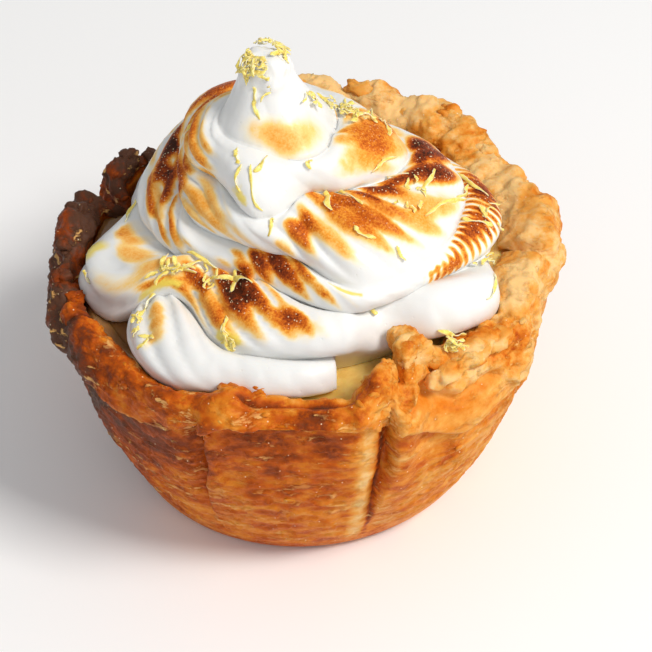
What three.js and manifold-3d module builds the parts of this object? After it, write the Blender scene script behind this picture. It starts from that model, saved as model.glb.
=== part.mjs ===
// An individual lemon meringue pie: a deep cup of flaky pastry, lemon curd inside it, and on the
// curd one rope of piped meringue that winds up clockwise in five passes and ends in a blunt cone.
// Millimetres, degrees, +Z up. The origin lies in the flat base, under the middle of the rim.

import * as THREE from 'three';
import { mergeVertices } from 'three/addons/utils/BufferGeometryUtils.js';
import Module from 'manifold-3d';

// ---- Driving dimensions ----

const CUP = {
  baseRadius: 34.8, // wall radius just above the rounded bottom edge
  flare: 0.28, // growth of the wall's radius per millimetre of height
  belly: 1.0, // how far the wall bows out halfway up
  baseShift: [-2.6, 2.0], // the cup stands a little aslant, so its base lies beside the rim's middle
  rimRadius: 45.6, // crest of the rim before its lumps are added
  rimHeight: 48.8,
  rollFoot: 39.6, // height where the rolled rim tucks back into the wall
  pastry: 3.9, // thickness of the pastry
  floor: 4.2, // thickness of the bottom crust
};

const CURD_TOP = 43.15; // level of the curd under the meringue
const GAP = 0.45; // clearance between touching pieces

const SWIRL = {
  start: 279, // angle where the free end of the rope lies
  base: 43.6, // underside of the meringue
  baseInset: 2.6, // the underside is this much smaller than the first crease
  radius: 33.2, // first crease
  firstCrease: 44.0,
  tip: 91.2, // height of the blunt tip
  tipRadius: 4.0,
  bulge: 4.4, // how far the rope stands out between two creases
  fluteDepth: 0.4,
  flutePitch: 8.8,
};

const PASSES = 5;
const FADE = [1560, 1730]; // travel over which the rope runs out into the cone

// ---- Resolution ----

const CUP_COLUMNS = 88;
const SWIRL_COLUMNS = 98;
const ROWS_PER_PASS = 5;
const CONE_ROWS = 5;

// ---- Lumps, folds and pleats of the pastry ----

// angle, half width, outwards, upwards, and how far the foot of the roll moves up
const RIM_LUMPS = [
  [262, 24, -2.6, -1.6, 0.8],
  [250, 6, -0.4, 1.6, 1.2],
  [263, 34, 0, 0, 4.2],
  [277, 8, 0, 0, 1.0],
  [285.5, 8, -1.8, 3.8, 0],
  [290.5, 3, 0.6, -3.0, 0],
  [297, 8.5, -2.6, 5.0, 0],
  [303, 13, 0, -1.6, -3.0],
  [314, 24, 0, -1.0, -4.5],
  [324, 12, 0, -0.6, -1.5],
  [341, 17, -3.8, 0.6, 0],
  [0, 14, -1.1, 0.6, 0],
  [17, 7, -2.6, 0, 0],
  [29, 12, -2.8, -0.8, 0],
  [43, 6, -0.6, 0.8, 0],
  [55, 9, 1.4, 1.8, 0],
  [70, 8, 0.8, 3.2, 0],
  [85, 11, 1.4, 3.4, 0],
  [103, 12, 1.2, 3.8, 0],
  [119, 11, -1.4, -3.0, 0],
  [131, 9, -3.6, -1.4, 0],
  [145, 8, -1.6, 1.2, 0],
  [152.5, 5, -4.6, -4.6, 0],
  [171, 9, -0.9, 2.2, 0],
  [196, 9, 1.2, -2.2, 0],
  [224, 22, 0.4, -2.2, -1.4],
  [241, 6, -0.8, -0.8, 0],
];

// angle at the rim, lean of the edge towards the base, height of the step, width over which it fades
const PLEATS = [
  [20, 8, 1.2, 18],
  [66, -6, 1.0, 16],
  [112, 6, 1.2, 18],
  [161, 5, 1.6, 20],
  [203, 4, 0.9, 20],
  [243.5, -1, 1.3, 16],
  [287.5, -2.5, 1.6, 22],
  [333, 14, 1.3, 18],
];

// where the rim slopes inwards above its foot instead of standing up: angle, half width, inwards
const SLOPED_IN = [
  [308, 30, 4.6],
  [297, 9, 2.0],
  [220, 16, 1.2],
];

// where the wall runs straight up into the rim, without a roll: angle, half width
const UNROLLED = [[341, 15], [232, 12]];

// the dough is folded in double on this side, so the rim is wide there
const FOLDED_SIDE = { angle: 18, halfWidth: 88, extra: 5 };

// ---- Where the rope of meringue wanders, squeezes and swells ----

// travel along the rope, half width, outwards, upwards
const CREASE_DENTS = [
  [25, 62, 2.8, -0.4],
  [50, 26, 4.5, 0.0],
  [100, 42, -3.2, 0.0],
  [305, 58, 1.6, -3.2],
  [422, 30, -5.0, 0.6],
  [438, 16, -3.2, -5.0],
  [458, 30, -5.2, -1.6],
  [480, 30, -2.0, 0.0],
  [608, 42, -4.6, 0.0],
  [648, 40, 5.2, -0.8],
  [700, 45, -2.0, 0.5],
  [754, 36, -2.4, 0.0],
  [770, 62, -8.5, 0.2],
  [823, 42, 2.2, -0.5],
  [956, 56, -7.4, 0.0],
  [1000, 60, 2.8, -1.2],
  [1060, 55, 4.6, -1.0],
  [1096, 26, -2.6, 0.0],
  [1112, 44, -6.5, 0.0],
  [1182, 56, -4.6, 0.0],
  [1228, 40, 3.4, 0.0],
  [1316, 56, -5.4, 0.0],
  [1362, 55, 2.0, 0.5],
  [1390, 34, -2.0, 0.0],
  [1424, 46, -4.8, 0.4],
  [1434, 24, -2.6, 0.0],
  [1474, 36, 1.8, 0.0],
  [1500, 34, -3.6, 0.0],
  [1580, 40, -1.6, 0.0],
  [1719, 50, -0.5, 0.0],
  [1779, 40, 2.5, 0.0],
  [1820, 60, 1.5, 0.0],
  [1885, 60, 3.0, -0.5],
];

// travel, half width, extra bulge, how far the pass sags over the one below
const SWELLS = [
  [58, 28, 1.0, 0],
  [100, 38, -3.6, 0],
  [250, 40, -2.6, 0],
  [281, 10, -3.2, 0],
  [293, 18, -4.0, 0],
  [318, 24, 4.2, 1.0],
  [345, 14, -3.2, 0],
  [372, 50, 0.6, 0],
  [444, 30, 9.7, 2.2],
  [480, 26, -1.5, 0],
  [684, 60, -1.6, 0],
  [815, 60, 1.2, 1.0],
  [1000, 60, 0.6, 0],
  [1060, 60, 1.0, 0],
  [1180, 60, 0.3, 1.0],
  [1228, 40, 1.4, 0],
  [1440, 60, -0.6, 0],
  [1540, 60, 0.5, 1.0],
];

// travel, half width, strength of the piping flutes
const FLUTED = [
  [66, 36, 1.5],
  [262, 30, 1.0],
  [322, 30, 0.15],
  [402, 32, 1.7],
  [448, 36, 1.8],
  [760, 60, 0.5],
  [815, 80, 1.5],
  [1060, 90, 1.2],
  [1180, 70, 1.4],
  [1540, 60, 1.0],
];

// travel, half width, where the flutes sweep along the rope instead of across it
const SWEPT = [
  [62, 50],
  [420, 80],
  [820, 80],
  [1160, 50],
  [1225, 50],
  [1530, 90],
];

// ---- Shreds of zest: travel, height across the pass, length, heading, curl in degrees ----

const ZEST = { width: 1.5, thickness: 0.9, sunk: 0.35, steps: 4 };

const SHREDS = [
  [60, 0.58, 8, 20, 60],
  [52, 0.30, 4, 110, 40],
  [308, 0.72, 7, -30, 50],
  [331, 0.36, 7, 200, -40],
  [348, 0.60, 5, 40, 60],
  [392, 0.22, 6, 120, 50],
  [398, 0.62, 9, 30, -50],
  [414, 0.66, 9, 10, 40],
  [428, 0.56, 8, 60, 90],
  [450, 0.45, 4, 80, 30],
  [465, 0.90, 6, 20, 50],
  [644, 0.62, 6, 150, 30],
  [771, 0.42, 7, 15, -60],
  [1023, 0.72, 6, 70, 40],
  [1031, 0.36, 13, 205, 25],
  [1042, 0.80, 8, 160, -30],
  [1054, 0.20, 3.5, 90, 40],
  [1055, 0.45, 6, 60, 60],
  [1068, 0.76, 6, 70, 50],
  [1102, 0.72, 6, 100, -40],
  [1352, 0.62, 7, 170, 40],
  [1356, 0.42, 6, 100, 50],
  [1379, 0.24, 7, 10, -50],
  [1391, 0.30, 8, 190, 30],
  [1424, 0.62, 7, 30, 60],
  [1461, 0.38, 5, 80, 40],
  [1474, 0.60, 6, 120, -50],
  [1524, 0.50, 5, 90, 60],
  [1986, 0.55, 7, 60, 70],
  [2012, 0.62, 7, 20, 60],
  [2053, 0.52, 6, 80, -60],
  [1830, 0.60, 6, 40, 70],
];

// ---- Small helpers ----

const radians = THREE.MathUtils.degToRad;
const { clamp, lerp, smoothstep, euclideanModulo } = THREE.MathUtils;

// a smooth hump of height 1 at its middle and 0 at its edges
function hump(x, middle, halfWidth) {
  const t = clamp(1 - ((x - middle) / halfWidth) ** 2, 0, 1);
  return t * t;
}

// signed difference of two angles, -180 to 180
function turnBetween(a, b) {
  return euclideanModulo(a - b + 180, 360) - 180;
}

function angularHump(angle, middle, halfWidth) {
  return hump(turnBetween(angle, middle), 0, halfWidth);
}

function sumOf(table, value) {
  return table.reduce((total, row) => total + value(row), 0);
}

// the angle round the pie's axis that a travel along the rope reaches, as the rope runs clockwise
function angleOf(travel) {
  return SWIRL.start - travel;
}

function polar(radius, angle, z) {
  return new THREE.Vector3(radius * Math.cos(radians(angle)), radius * Math.sin(radians(angle)), z);
}

// ---- The pastry cup ----

function rimAt(angle) {
  let radius = CUP.rimRadius;
  let height = CUP.rimHeight;
  let foot = CUP.rollFoot;
  for (const [middle, halfWidth, out, up, footUp] of RIM_LUMPS) {
    const h = angularHump(angle, middle, halfWidth);
    radius += out * h;
    height += up * h;
    foot += footUp * h;
  }
  return { radius, height, foot };
}

// a pleat is the edge of a fold lying on the next one: a step up, with a groove in front of it
function pleatRelief(angle, z) {
  let relief = 0;
  for (const [middle, lean, step, fade] of PLEATS) {
    const x = turnBetween(angle, middle + lean * (1 - clamp(z / 45, 0, 1)));
    const lap = x < 120 ? smoothstep(x, -1.5, 1.5) * Math.exp(-Math.max(x, 0) / fade) : 0;
    const groove = hump(x, -3.2, 4.2);
    relief += step * (lap - 0.8 * groove);
  }
  return relief * smoothstep(z, 9, 26);
}

function wallRadius(angle, z) {
  const rimShift = 0.75 * (rimAt(angle).radius - CUP.rimRadius);
  const bowed = CUP.belly * Math.sin(Math.PI * clamp((z - 3) / 38, 0, 1));
  const flared = CUP.baseRadius + CUP.flare * (z - 3) + bowed;
  return flared + rimShift * smoothstep(z, 12, 44) - 0.4 * smoothstep(z, 30, 44) + pleatRelief(angle, z);
}

// inside face of the pastry, which the curd fills
function innerRadius(angle, z) {
  const rimShift = rimAt(angle).radius - CUP.rimRadius;
  return CUP.baseRadius + CUP.flare * (z - 3) - CUP.pastry + 0.4 * rimShift * smoothstep(z, 12, 39);
}

function slopedIn(angle) {
  return sumOf(SLOPED_IN, ([middle, halfWidth, inwards]) => {
    return inwards * angularHump(angle, middle, halfWidth);
  });
}

function foldAt(angle) {
  return FOLDED_SIDE.extra * angularHump(angle, FOLDED_SIDE.angle, FOLDED_SIDE.halfWidth);
}

// the cup's lower part moved sideways, as far as it stands aslant
function settled(point) {
  const low = clamp(1 - point.z / 42, 0, 1);
  point.x += CUP.baseShift[0] * low;
  point.y += CUP.baseShift[1] * low;
  return point;
}

// radius and height of the section at one angle, from the middle of the base up the outside, over
// the rolled rim and down the inside to the middle of the floor
function cupSection(angle) {
  const { radius, height, foot } = rimAt(angle);
  const section = [[0, 0], [28.4, 0], [32.7, 1.0], [34.7, 4.0]];
  for (let step = 1; step <= 5; step++) {
    const z = lerp(4.0, foot, step / 6);
    section.push([wallRadius(angle, z), z]);
  }
  const wall = wallRadius(angle, foot);
  const fold = foldAt(angle);
  const crest = radius - slopedIn(angle);
  const roll = 1 - sumOf(UNROLLED, ([middle, halfWidth]) => angularHump(angle, middle, halfWidth));
  section.push(
    [wall - 0.7 * roll, foot],
    [wall + roll, foot + 0.8],
    [(wall + crest) / 2 + 0.5 + 1.2 * roll, lerp(foot, height, 0.4)],
    [crest + 0.4 + 0.5 * roll, lerp(foot, height, 0.72)],
    [crest - 0.1, height - 0.6],
    [crest - 1.7, height],
    [crest - 3.4 - 0.5 * fold, height - 0.9],
    [crest - 4.4 - fold, height - 3.4 - 0.2 * fold],
    [innerRadius(angle, 39.5) + 0.3 - 0.4 * fold, 39.5],
    [innerRadius(angle, 26), 26],
    [innerRadius(angle, 12), 12],
    [28.6, 5],
    [0, CUP.floor],
  );
  return section;
}

// ---- The lemon curd ----

function curdSection(angle) {
  const fold = foldAt(angle);
  const underRim = rimAt(angle).radius - slopedIn(angle) - 4.4 - fold - 2 * GAP;
  const shoulder = Math.min(innerRadius(angle, 39.5) + 0.3 - 0.4 * fold - GAP, underRim + 1.2);
  return [
    [0, CUP.floor + GAP + 0.8],
    [28.6 - GAP, 5 + GAP],
    [innerRadius(angle, 12) - GAP, 12],
    [innerRadius(angle, 26) - GAP, 26],
    [shoulder, 39.5],
    [Math.min(shoulder - 1.2, underRim), CURD_TOP],
    [0, CURD_TOP],
  ];
}

// ---- The piped meringue ----

// the line where one pass of the rope rests on the pass below it
function crease(travel) {
  const turns = travel / 360;
  let radius = SWIRL.radius - 1.05 * turns ** 1.95;
  let height = SWIRL.firstCrease + 4.4 * turns + 0.42 * turns ** 2;
  for (const [middle, halfWidth, out, up] of CREASE_DENTS) {
    const h = hump(travel, middle, halfWidth);
    radius += out * h;
    height += up * h;
  }
  return [radius, height];
}

function bulgeAt(travel) {
  let bulge = SWIRL.bulge - (0.35 * travel) / 360;
  for (const [middle, halfWidth, extra] of SWELLS) {
    bulge += extra * hump(travel, middle, halfWidth);
  }
  const freeEnd = Math.sqrt(clamp(1 - (1 - clamp((travel + 3) / 14, 0, 1)) ** 2, 0, 1));
  return bulge * freeEnd;
}

function sagAt(travel) {
  return sumOf(SWELLS, ([middle, halfWidth, , sag]) => sag * hump(travel, middle, halfWidth));
}

function fluteStrength(travel) {
  const strengths = FLUTED.map(([middle, halfWidth, value]) => value * hump(travel, middle, halfWidth));
  return Math.max(0.12, ...strengths);
}

// 0 in the groove between two ridges left by the piping nozzle and 1 on a ridge's crest
function fluteRidge(travel, across) {
  const x = radians(travel);
  const run = 38 * x - 0.52 * x * x;
  const wander = 0.35 * Math.sin(travel * 0.047) + 0.22 * Math.sin(travel * 0.131 + 1.3);
  const steep = (run - 9 * across) / SWIRL.flutePitch + wander;
  const slanting = (run - 44 * across) / (2.3 * SWIRL.flutePitch) + 0.6 * wander;
  const crossing = Math.abs(Math.sin(Math.PI * steep));
  const swept = Math.abs(Math.sin(Math.PI * slanting));
  const share = sumOf(SWEPT, ([middle, halfWidth]) => hump(travel, middle, halfWidth));
  return crossing + (swept - crossing) * Math.min(1, 1.6 * share);
}

function fluteRelief(travel, across) {
  const ridge = 1.6 * (fluteRidge(travel, across) - 0.62);
  return SWIRL.fluteDepth * fluteStrength(travel) * Math.sin(Math.PI * across) ** 0.6 * ridge;
}

// radius and height of the rope's skin: across runs from 0 at its lower crease to 1 at the upper one
function ropeSkin(travel, across) {
  const width = 1 - smoothstep(travel, ...FADE);
  const [r0, z0] = crease(travel);
  const upper = crease(travel + 360);
  const [dr, dz] = [(upper[0] - r0) * width, (upper[1] - z0) * width];
  const length = Math.hypot(dr, dz) + 1e-6;
  const bulge = bulgeAt(travel) * width;
  const belly = Math.sin(Math.PI * across) ** 0.85;
  const out = bulge * belly + width * fluteRelief(travel, across);
  const spread = 0.3 * bulge * Math.sin(2 * Math.PI * across);
  const sag = sagAt(travel) * belly * width;
  return [
    r0 + dr * across + (dz * out - dr * spread) / length,
    Math.max(z0 + dz * across - (dr * out + dz * spread) / length - sag, SWIRL.base),
  ];
}

function coneRadius(z) {
  return SWIRL.tipRadius + 5.8 * clamp((SWIRL.tip - z) / 16, 0, 1.2) ** 1.9;
}

// the cone that the rope ends in: up runs from 0 at the end of the last pass to 1 at the tip
function coneSkin(travel, up) {
  const [r0, z0] = ropeSkin(travel - 360, 1);
  const z = z0 + (SWIRL.tip - z0) * (1 - (1 - up) ** 1.3);
  const blend = 1 + (r0 / coneRadius(z0) - 1) * (1 - smoothstep(up, 0, 0.5));
  const skirt = 0.4 * Math.sin(Math.PI * clamp((z - z0) / (0.62 * (SWIRL.tip - z0)), 0, 1)) ** 0.8;
  const rounding = Math.sqrt(clamp(1 - clamp((z - SWIRL.tip + 2.4) / 2.4, 0, 1) ** 2, 0, 1));
  return [(coneRadius(z) * blend + skirt) * rounding, z];
}

// the whole swirl leans a little to one side as it rises
function leaning(radius, angle, z) {
  const point = polar(radius, angle, z);
  point.x -= 2.0 * (1 - smoothstep(z, 46, 58)) + 4.3 * smoothstep(z, 58, 80) + smoothstep(z, 80, 92);
  return point;
}

const ROPE_END = 360 * PASSES;

function skinPoint(travel, across) {
  const [radius, z] = travel < ROPE_END ? ropeSkin(travel, across) : coneSkin(travel, across);
  return leaning(radius, angleOf(travel), z);
}

function swirlColumn(travel) {
  const column = [];
  for (let pass = 0; pass < PASSES; pass++) {
    for (let row = 0; row < ROWS_PER_PASS; row++) {
      column.push(skinPoint(travel + 360 * pass, row / ROWS_PER_PASS));
    }
  }
  for (let row = 0; row <= CONE_ROWS; row++) {
    column.push(skinPoint(travel + ROPE_END, row / CONE_ROWS));
  }
  return column;
}

// ---- Closed meshes ----

// triangles from a list of polygons, each a fan of points, with points that coincide merged and
// triangles without area left out
function closedGeometry(polygons) {
  const corners = [];
  for (const polygon of polygons) {
    for (let k = 1; k < polygon.length - 1; k++) {
      corners.push(polygon[0], polygon[k], polygon[k + 1]);
    }
  }
  const loose = new THREE.BufferGeometry().setFromPoints(corners);
  const merged = mergeVertices(loose, 1e-3);
  const index = Array.from(merged.index.array);
  const kept = [];
  for (let k = 0; k < index.length; k += 3) {
    const [a, b, c] = index.slice(k, k + 3);
    if (a !== b && b !== c && c !== a) kept.push(a, b, c);
  }
  merged.setIndex(kept);
  return merged;
}

// a section that changes with the angle, swept once round the axis, outside first
function sweptRound(sectionAt, columns) {
  const rings = [];
  for (let i = 0; i < columns; i++) {
    const angle = (360 * i) / columns;
    rings.push(sectionAt(angle).map(([radius, z]) => settled(polar(radius, angle, z))));
  }
  const polygons = [];
  for (let i = 0; i < columns; i++) {
    const here = rings[i];
    const next = rings[(i + 1) % columns];
    for (let k = 0; k < here.length - 1; k++) {
      polygons.push([here[k], next[k], next[k + 1], here[k + 1]]);
    }
  }
  return closedGeometry(polygons);
}

// The rope's skin is one strip wound round and round: the last column meets the first one a pass
// higher up. The rope's free end and the underside close it.
function swirlGeometry() {
  const columns = [];
  const underside = [];
  for (let i = 0; i < SWIRL_COLUMNS; i++) {
    const travel = (360 * i) / SWIRL_COLUMNS;
    columns.push(swirlColumn(travel));
    underside.push(leaning(crease(travel)[0] - SWIRL.baseInset, angleOf(travel), SWIRL.base));
  }
  const ropeRows = PASSES * ROWS_PER_PASS;
  const passUp = (row) => (row > ropeRows ? row : Math.min(row + ROWS_PER_PASS, ropeRows));
  const middle = leaning(0, 0, SWIRL.base);
  const polygons = [];
  for (let i = 0; i < SWIRL_COLUMNS; i++) {
    const last = i === SWIRL_COLUMNS - 1;
    const here = columns[i];
    const next = columns[(i + 1) % SWIRL_COLUMNS];
    const rowOf = last ? passUp : (row) => row;
    for (let row = 0; row < here.length - 1; row++) {
      polygons.push([here[row], here[row + 1], next[rowOf(row + 1)], next[rowOf(row)]]);
    }
    const [under, nextUnder] = [underside[i], underside[(i + 1) % SWIRL_COLUMNS]];
    polygons.push([under, here[0], next[0], nextUnder]);
    polygons.push([middle, under, nextUnder]);
    if (last) polygons.push([here[0], ...next.slice(0, ROWS_PER_PASS + 1).reverse()]);
  }
  return closedGeometry(polygons);
}

// how the skin lies at one place: the directions along and across the rope, the normal, and the
// millimetres for each degree of travel and for the whole way across
function skinFrame(travel, across) {
  const along = skinPoint(travel + 1, across).sub(skinPoint(travel - 1, across)).divideScalar(2);
  const upwards = skinPoint(travel, across + 0.04).sub(skinPoint(travel, across - 0.04)).divideScalar(0.08);
  const perDegree = along.length();
  const perPass = upwards.length();
  const normal = new THREE.Vector3().crossVectors(upwards, along).normalize();
  return { along: along.normalize(), upwards: upwards.normalize(), normal, perDegree, perPass };
}

// a strip of zest that follows the meringue's skin, a little sunk into it
function shredGeometry([start, height, length, heading, curl]) {
  const stride = length / ZEST.steps;
  let [travel, across] = [start, height];
  const sections = [];
  for (let step = 0; step <= ZEST.steps; step++) {
    const turn = radians(heading + curl * (step / ZEST.steps - 0.5));
    const { along, upwards, normal, perDegree, perPass } = skinFrame(travel, across);
    const forwards = along.multiplyScalar(Math.cos(turn)).addScaledVector(upwards, Math.sin(turn));
    const sideways = new THREE.Vector3().crossVectors(normal, forwards).normalize();
    const half = 0.5 * ZEST.width * (step % ZEST.steps === 0 ? 0.5 : 1);
    const place = skinPoint(travel, across);
    const corner = (s, h) => place.clone().addScaledVector(sideways, s).addScaledVector(normal, h);
    const [low, high] = [-ZEST.sunk, ZEST.thickness - ZEST.sunk];
    sections.push([corner(-half, low), corner(half, low), corner(half, high), corner(-half, high)]);
    travel += (stride * Math.cos(turn)) / perDegree;
    across = clamp(across + (stride * Math.sin(turn)) / perPass, 0.08, 0.92);
  }
  const polygons = [[...sections[0]].reverse(), sections[ZEST.steps]];
  for (let step = 0; step < ZEST.steps; step++) {
    for (let k = 0; k < 4; k++) {
      const j = (k + 1) % 4;
      const [here, next] = [sections[step], sections[step + 1]];
      polygons.push([here[k], here[j], next[j], next[k]]);
    }
  }
  return closedGeometry(polygons);
}

// ---- Joining ----

const wasm = await Module();
wasm.setup();

function toSolid(geometry) {
  const vertProperties = new Float32Array(geometry.attributes.position.array);
  const triVerts = new Uint32Array(geometry.index.array);
  return new wasm.Manifold(new wasm.Mesh({ numProp: 3, vertProperties, triVerts }));
}

function toGeometry(solid) {
  const mesh = solid.getMesh();
  const geometry = new THREE.BufferGeometry();
  geometry.setAttribute('position', new THREE.BufferAttribute(mesh.vertProperties, 3));
  geometry.setIndex(new THREE.BufferAttribute(mesh.triVerts, 1));
  return geometry;
}

// the outer body alone: pockets sealed under a shred are filled
function outerBody(solid) {
  const bodies = solid.decompose();
  return bodies.reduce((largest, body) => (body.volume() > largest.volume() ? body : largest));
}

function meringueWithZest() {
  let solid = toSolid(swirlGeometry());
  for (const shred of SHREDS) {
    solid = solid.add(toSolid(shredGeometry(shred)));
  }
  return toGeometry(outerBody(solid));
}

// ---- The pie ----

function piece(name, geometry, color, roughness) {
  geometry.computeVertexNormals();
  const material = new THREE.MeshStandardMaterial({ color, roughness, metalness: 0 });
  const mesh = new THREE.Mesh(geometry, material);
  mesh.name = name;
  return mesh;
}

const pie = new THREE.Group();
pie.add(piece('crust', sweptRound(cupSection, CUP_COLUMNS), 0xc98440, 0.6));
pie.add(piece('curd', sweptRound(curdSection, CUP_COLUMNS), 0xdcb93c, 0.25));
pie.add(piece('meringue', meringueWithZest(), 0xf4f1e8, 0.45));

export default pie;
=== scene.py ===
# An individual lemon meringue pie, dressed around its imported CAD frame.
# Shapes are in millimetres and degrees, and meshes in metres.

from itertools import product

import bmesh
import bpy
import numpy as np
from mathutils import Matrix, Vector


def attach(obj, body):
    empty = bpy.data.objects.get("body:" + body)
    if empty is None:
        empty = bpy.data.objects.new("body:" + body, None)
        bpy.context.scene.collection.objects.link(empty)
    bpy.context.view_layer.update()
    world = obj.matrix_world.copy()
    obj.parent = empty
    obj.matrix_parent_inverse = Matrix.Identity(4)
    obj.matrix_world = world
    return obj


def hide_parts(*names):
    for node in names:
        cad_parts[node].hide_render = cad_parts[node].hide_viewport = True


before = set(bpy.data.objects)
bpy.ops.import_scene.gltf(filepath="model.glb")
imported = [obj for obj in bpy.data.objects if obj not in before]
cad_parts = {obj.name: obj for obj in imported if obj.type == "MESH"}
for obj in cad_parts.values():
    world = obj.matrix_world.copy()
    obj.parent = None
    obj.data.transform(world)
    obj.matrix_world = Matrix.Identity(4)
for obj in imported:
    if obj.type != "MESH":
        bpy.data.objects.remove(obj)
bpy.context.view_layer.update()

MM = 0.001
BODY = "root"

# ---- Driving dimensions, as in the part's source ----

BASE_RADIUS = 34.8
FLARE = 0.28
BELLY = 1.0
BASE_SHIFT = (-2.6, 2.0)
RIM_RADIUS = 45.6
RIM_HEIGHT = 48.8
ROLL_FOOT = 39.6
PASTRY = 3.9
FLOOR = 4.2
CURD_TOP = 43.15
GAP = 0.3

START = 279.0
SWIRL_BASE = 43.6
BASE_INSET = 2.6
BASE_LEAN = 2.0
FIRST_RADIUS = 33.2
FIRST_HEIGHT = 44.0
TIP = 91.2
TIP_RADIUS = 4.0
BULGE = 4.4
PASSES = 5
FADE = (1560.0, 1730.0)
ROPE_END = 360.0 * PASSES

FLUTE_DEPTH = 0.62
FLUTE_PITCH = 4.4

# ---- Camera ----

CAMERA_ELEVATION = 41.9
CAMERA_ROLL = -3.8
CAMERA_DISTANCE = 450.0
CAMERA_TARGET = (2.4, 0.0, 27.6)
FOCAL_PIXELS = 2405.0
IMAGE_PIXELS = 652.0
SENSOR = 36.0

# ---- Mesh density ----

CUP_COLUMNS = 640
SWIRL_COLUMNS = 600
ROWS_PER_PASS = 28
CONE_ROWS = 26
CURD_COLUMNS = 160
FLAKES = 90

# lumps of the rim: angle, half width, outwards, upwards, rise of the roll's foot
RIM_LUMPS = [
    (262, 24, -2.6, -1.6, 0.8),
    (250, 6, -0.4, 1.6, 1.2),
    (263, 34, 0, 0, 4.2),
    (277, 8, 0, 0, 1),
    (285.5, 8, -1.8, 3.8, 0),
    (290.5, 3, 0.6, -3, 0),
    (297, 8.5, -2.6, 5, 0),
    (303, 13, 0, -1.6, -3),
    (314, 24, 0, -1, -4.5),
    (324, 12, 0, -0.6, -1.5),
    (341, 17, -3.8, 0.6, 0),
    (0, 14, -1.1, 0.6, 0),
    (17, 7, -2.6, 0, 0),
    (29, 12, -2.8, -0.8, 0),
    (43, 6, -0.6, 0.8, 0),
    (55, 9, 1.4, 1.8, 0),
    (70, 8, 0.8, 3.2, 0),
    (85, 11, 1.4, 3.4, 0),
    (103, 12, 1.2, 3.8, 0),
    (119, 11, -1.4, -3, 0),
    (131, 9, -3.6, -1.4, 0),
    (145, 8, -1.6, 1.2, 0),
    (152.5, 5, -4.6, -4.6, 0),
    (171, 9, -0.9, 2.2, 0),
    (196, 9, 1.2, -2.2, 0),
    (224, 22, 0.4, -2.2, -1.4),
    (241, 6, -0.8, -0.8, 0),
]

# angle at the rim, lean of the edge towards the base, height of the step, width over which it fades
PLEATS = [
    (20, 8, 1.2, 18),
    (66, -6, 1, 16),
    (112, 6, 1.2, 18),
    (161, 5, 1.6, 20),
    (203, 4, 0.9, 20),
    (243.5, -1, 1.3, 16),
    (287.5, -2.5, 1.6, 22),
    (333, 14, 1.3, 18),
]

# where the rim slopes inwards: angle, half width, inwards
SLOPED_IN = [(308, 30, 4.6), (297, 9, 2.0), (220, 16, 1.2)]

# where the rim has no roll: angle, half width
UNROLLED = [(341, 15), (232, 12)]

FOLDED_SIDE = (18, 88, 5.0)  # angle, half width, extra width of the rim

# travel along the rope, half width, outwards, upwards
CREASE_DENTS = [
    (25, 62, 2.8, -0.4),
    (50, 26, 4.5, 0),
    (100, 42, -3.2, 0),
    (305, 58, 1.6, -3.2),
    (422, 30, -5, 0.6),
    (438, 16, -3.2, -5),
    (458, 30, -5.2, -1.6),
    (480, 30, -2, 0),
    (608, 42, -4.6, 0),
    (648, 40, 5.2, -0.8),
    (700, 45, -2, 0.5),
    (754, 36, -2.4, 0),
    (770, 62, -8.5, 0.2),
    (823, 42, 2.2, -0.5),
    (956, 56, -7.4, 0),
    (1000, 60, 2.8, -1.2),
    (1060, 55, 4.6, -1),
    (1096, 26, -2.6, 0),
    (1112, 44, -6.5, 0),
    (1182, 56, -4.6, 0),
    (1228, 40, 3.4, 0),
    (1316, 56, -5.4, 0),
    (1362, 55, 2, 0.5),
    (1390, 34, -2, 0),
    (1424, 46, -4.8, 0.4),
    (1434, 24, -2.6, 0),
    (1474, 36, 1.8, 0),
    (1500, 34, -3.6, 0),
    (1580, 40, -1.6, 0),
    (1719, 50, -0.5, 0),
    (1779, 40, 2.5, 0),
    (1820, 60, 1.5, 0),
    (1885, 60, 3, -0.5),
]

# travel, half width, extra bulge, how far it sags over the pass below
SWELLS = [
    (58, 28, 1, 0),
    (100, 38, -3.6, 0),
    (250, 40, -2.6, 0),
    (281, 10, -3.2, 0),
    (293, 18, -4, 0),
    (318, 24, 4.2, 1),
    (345, 14, -3.2, 0),
    (372, 50, 0.6, 0),
    (444, 30, 9.7, 2.2),
    (480, 26, -1.5, 0),
    (684, 60, -1.6, 0),
    (815, 60, 1.2, 1),
    (1000, 60, 0.6, 0),
    (1060, 60, 1, 0),
    (1180, 60, 0.3, 1),
    (1228, 40, 1.4, 0),
    (1440, 60, -0.6, 0),
    (1540, 60, 0.5, 1),
]

# travel, half width, strength of the piping flutes
FLUTED = [
    (66, 36, 1.5),
    (262, 30, 1),
    (322, 30, 0.15),
    (402, 32, 1.7),
    (448, 36, 1.8),
    (760, 60, 0.5),
    (815, 80, 0.8),
    (1060, 90, 1.2),
    (1180, 70, 1.4),
    (1540, 60, 1),
]

# travel, half width, where the flutes sweep along the rope instead of across it
SWEPT = [(62, 50), (420, 80), (820, 80), (1160, 50), (1225, 50), (1530, 90)]

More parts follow.
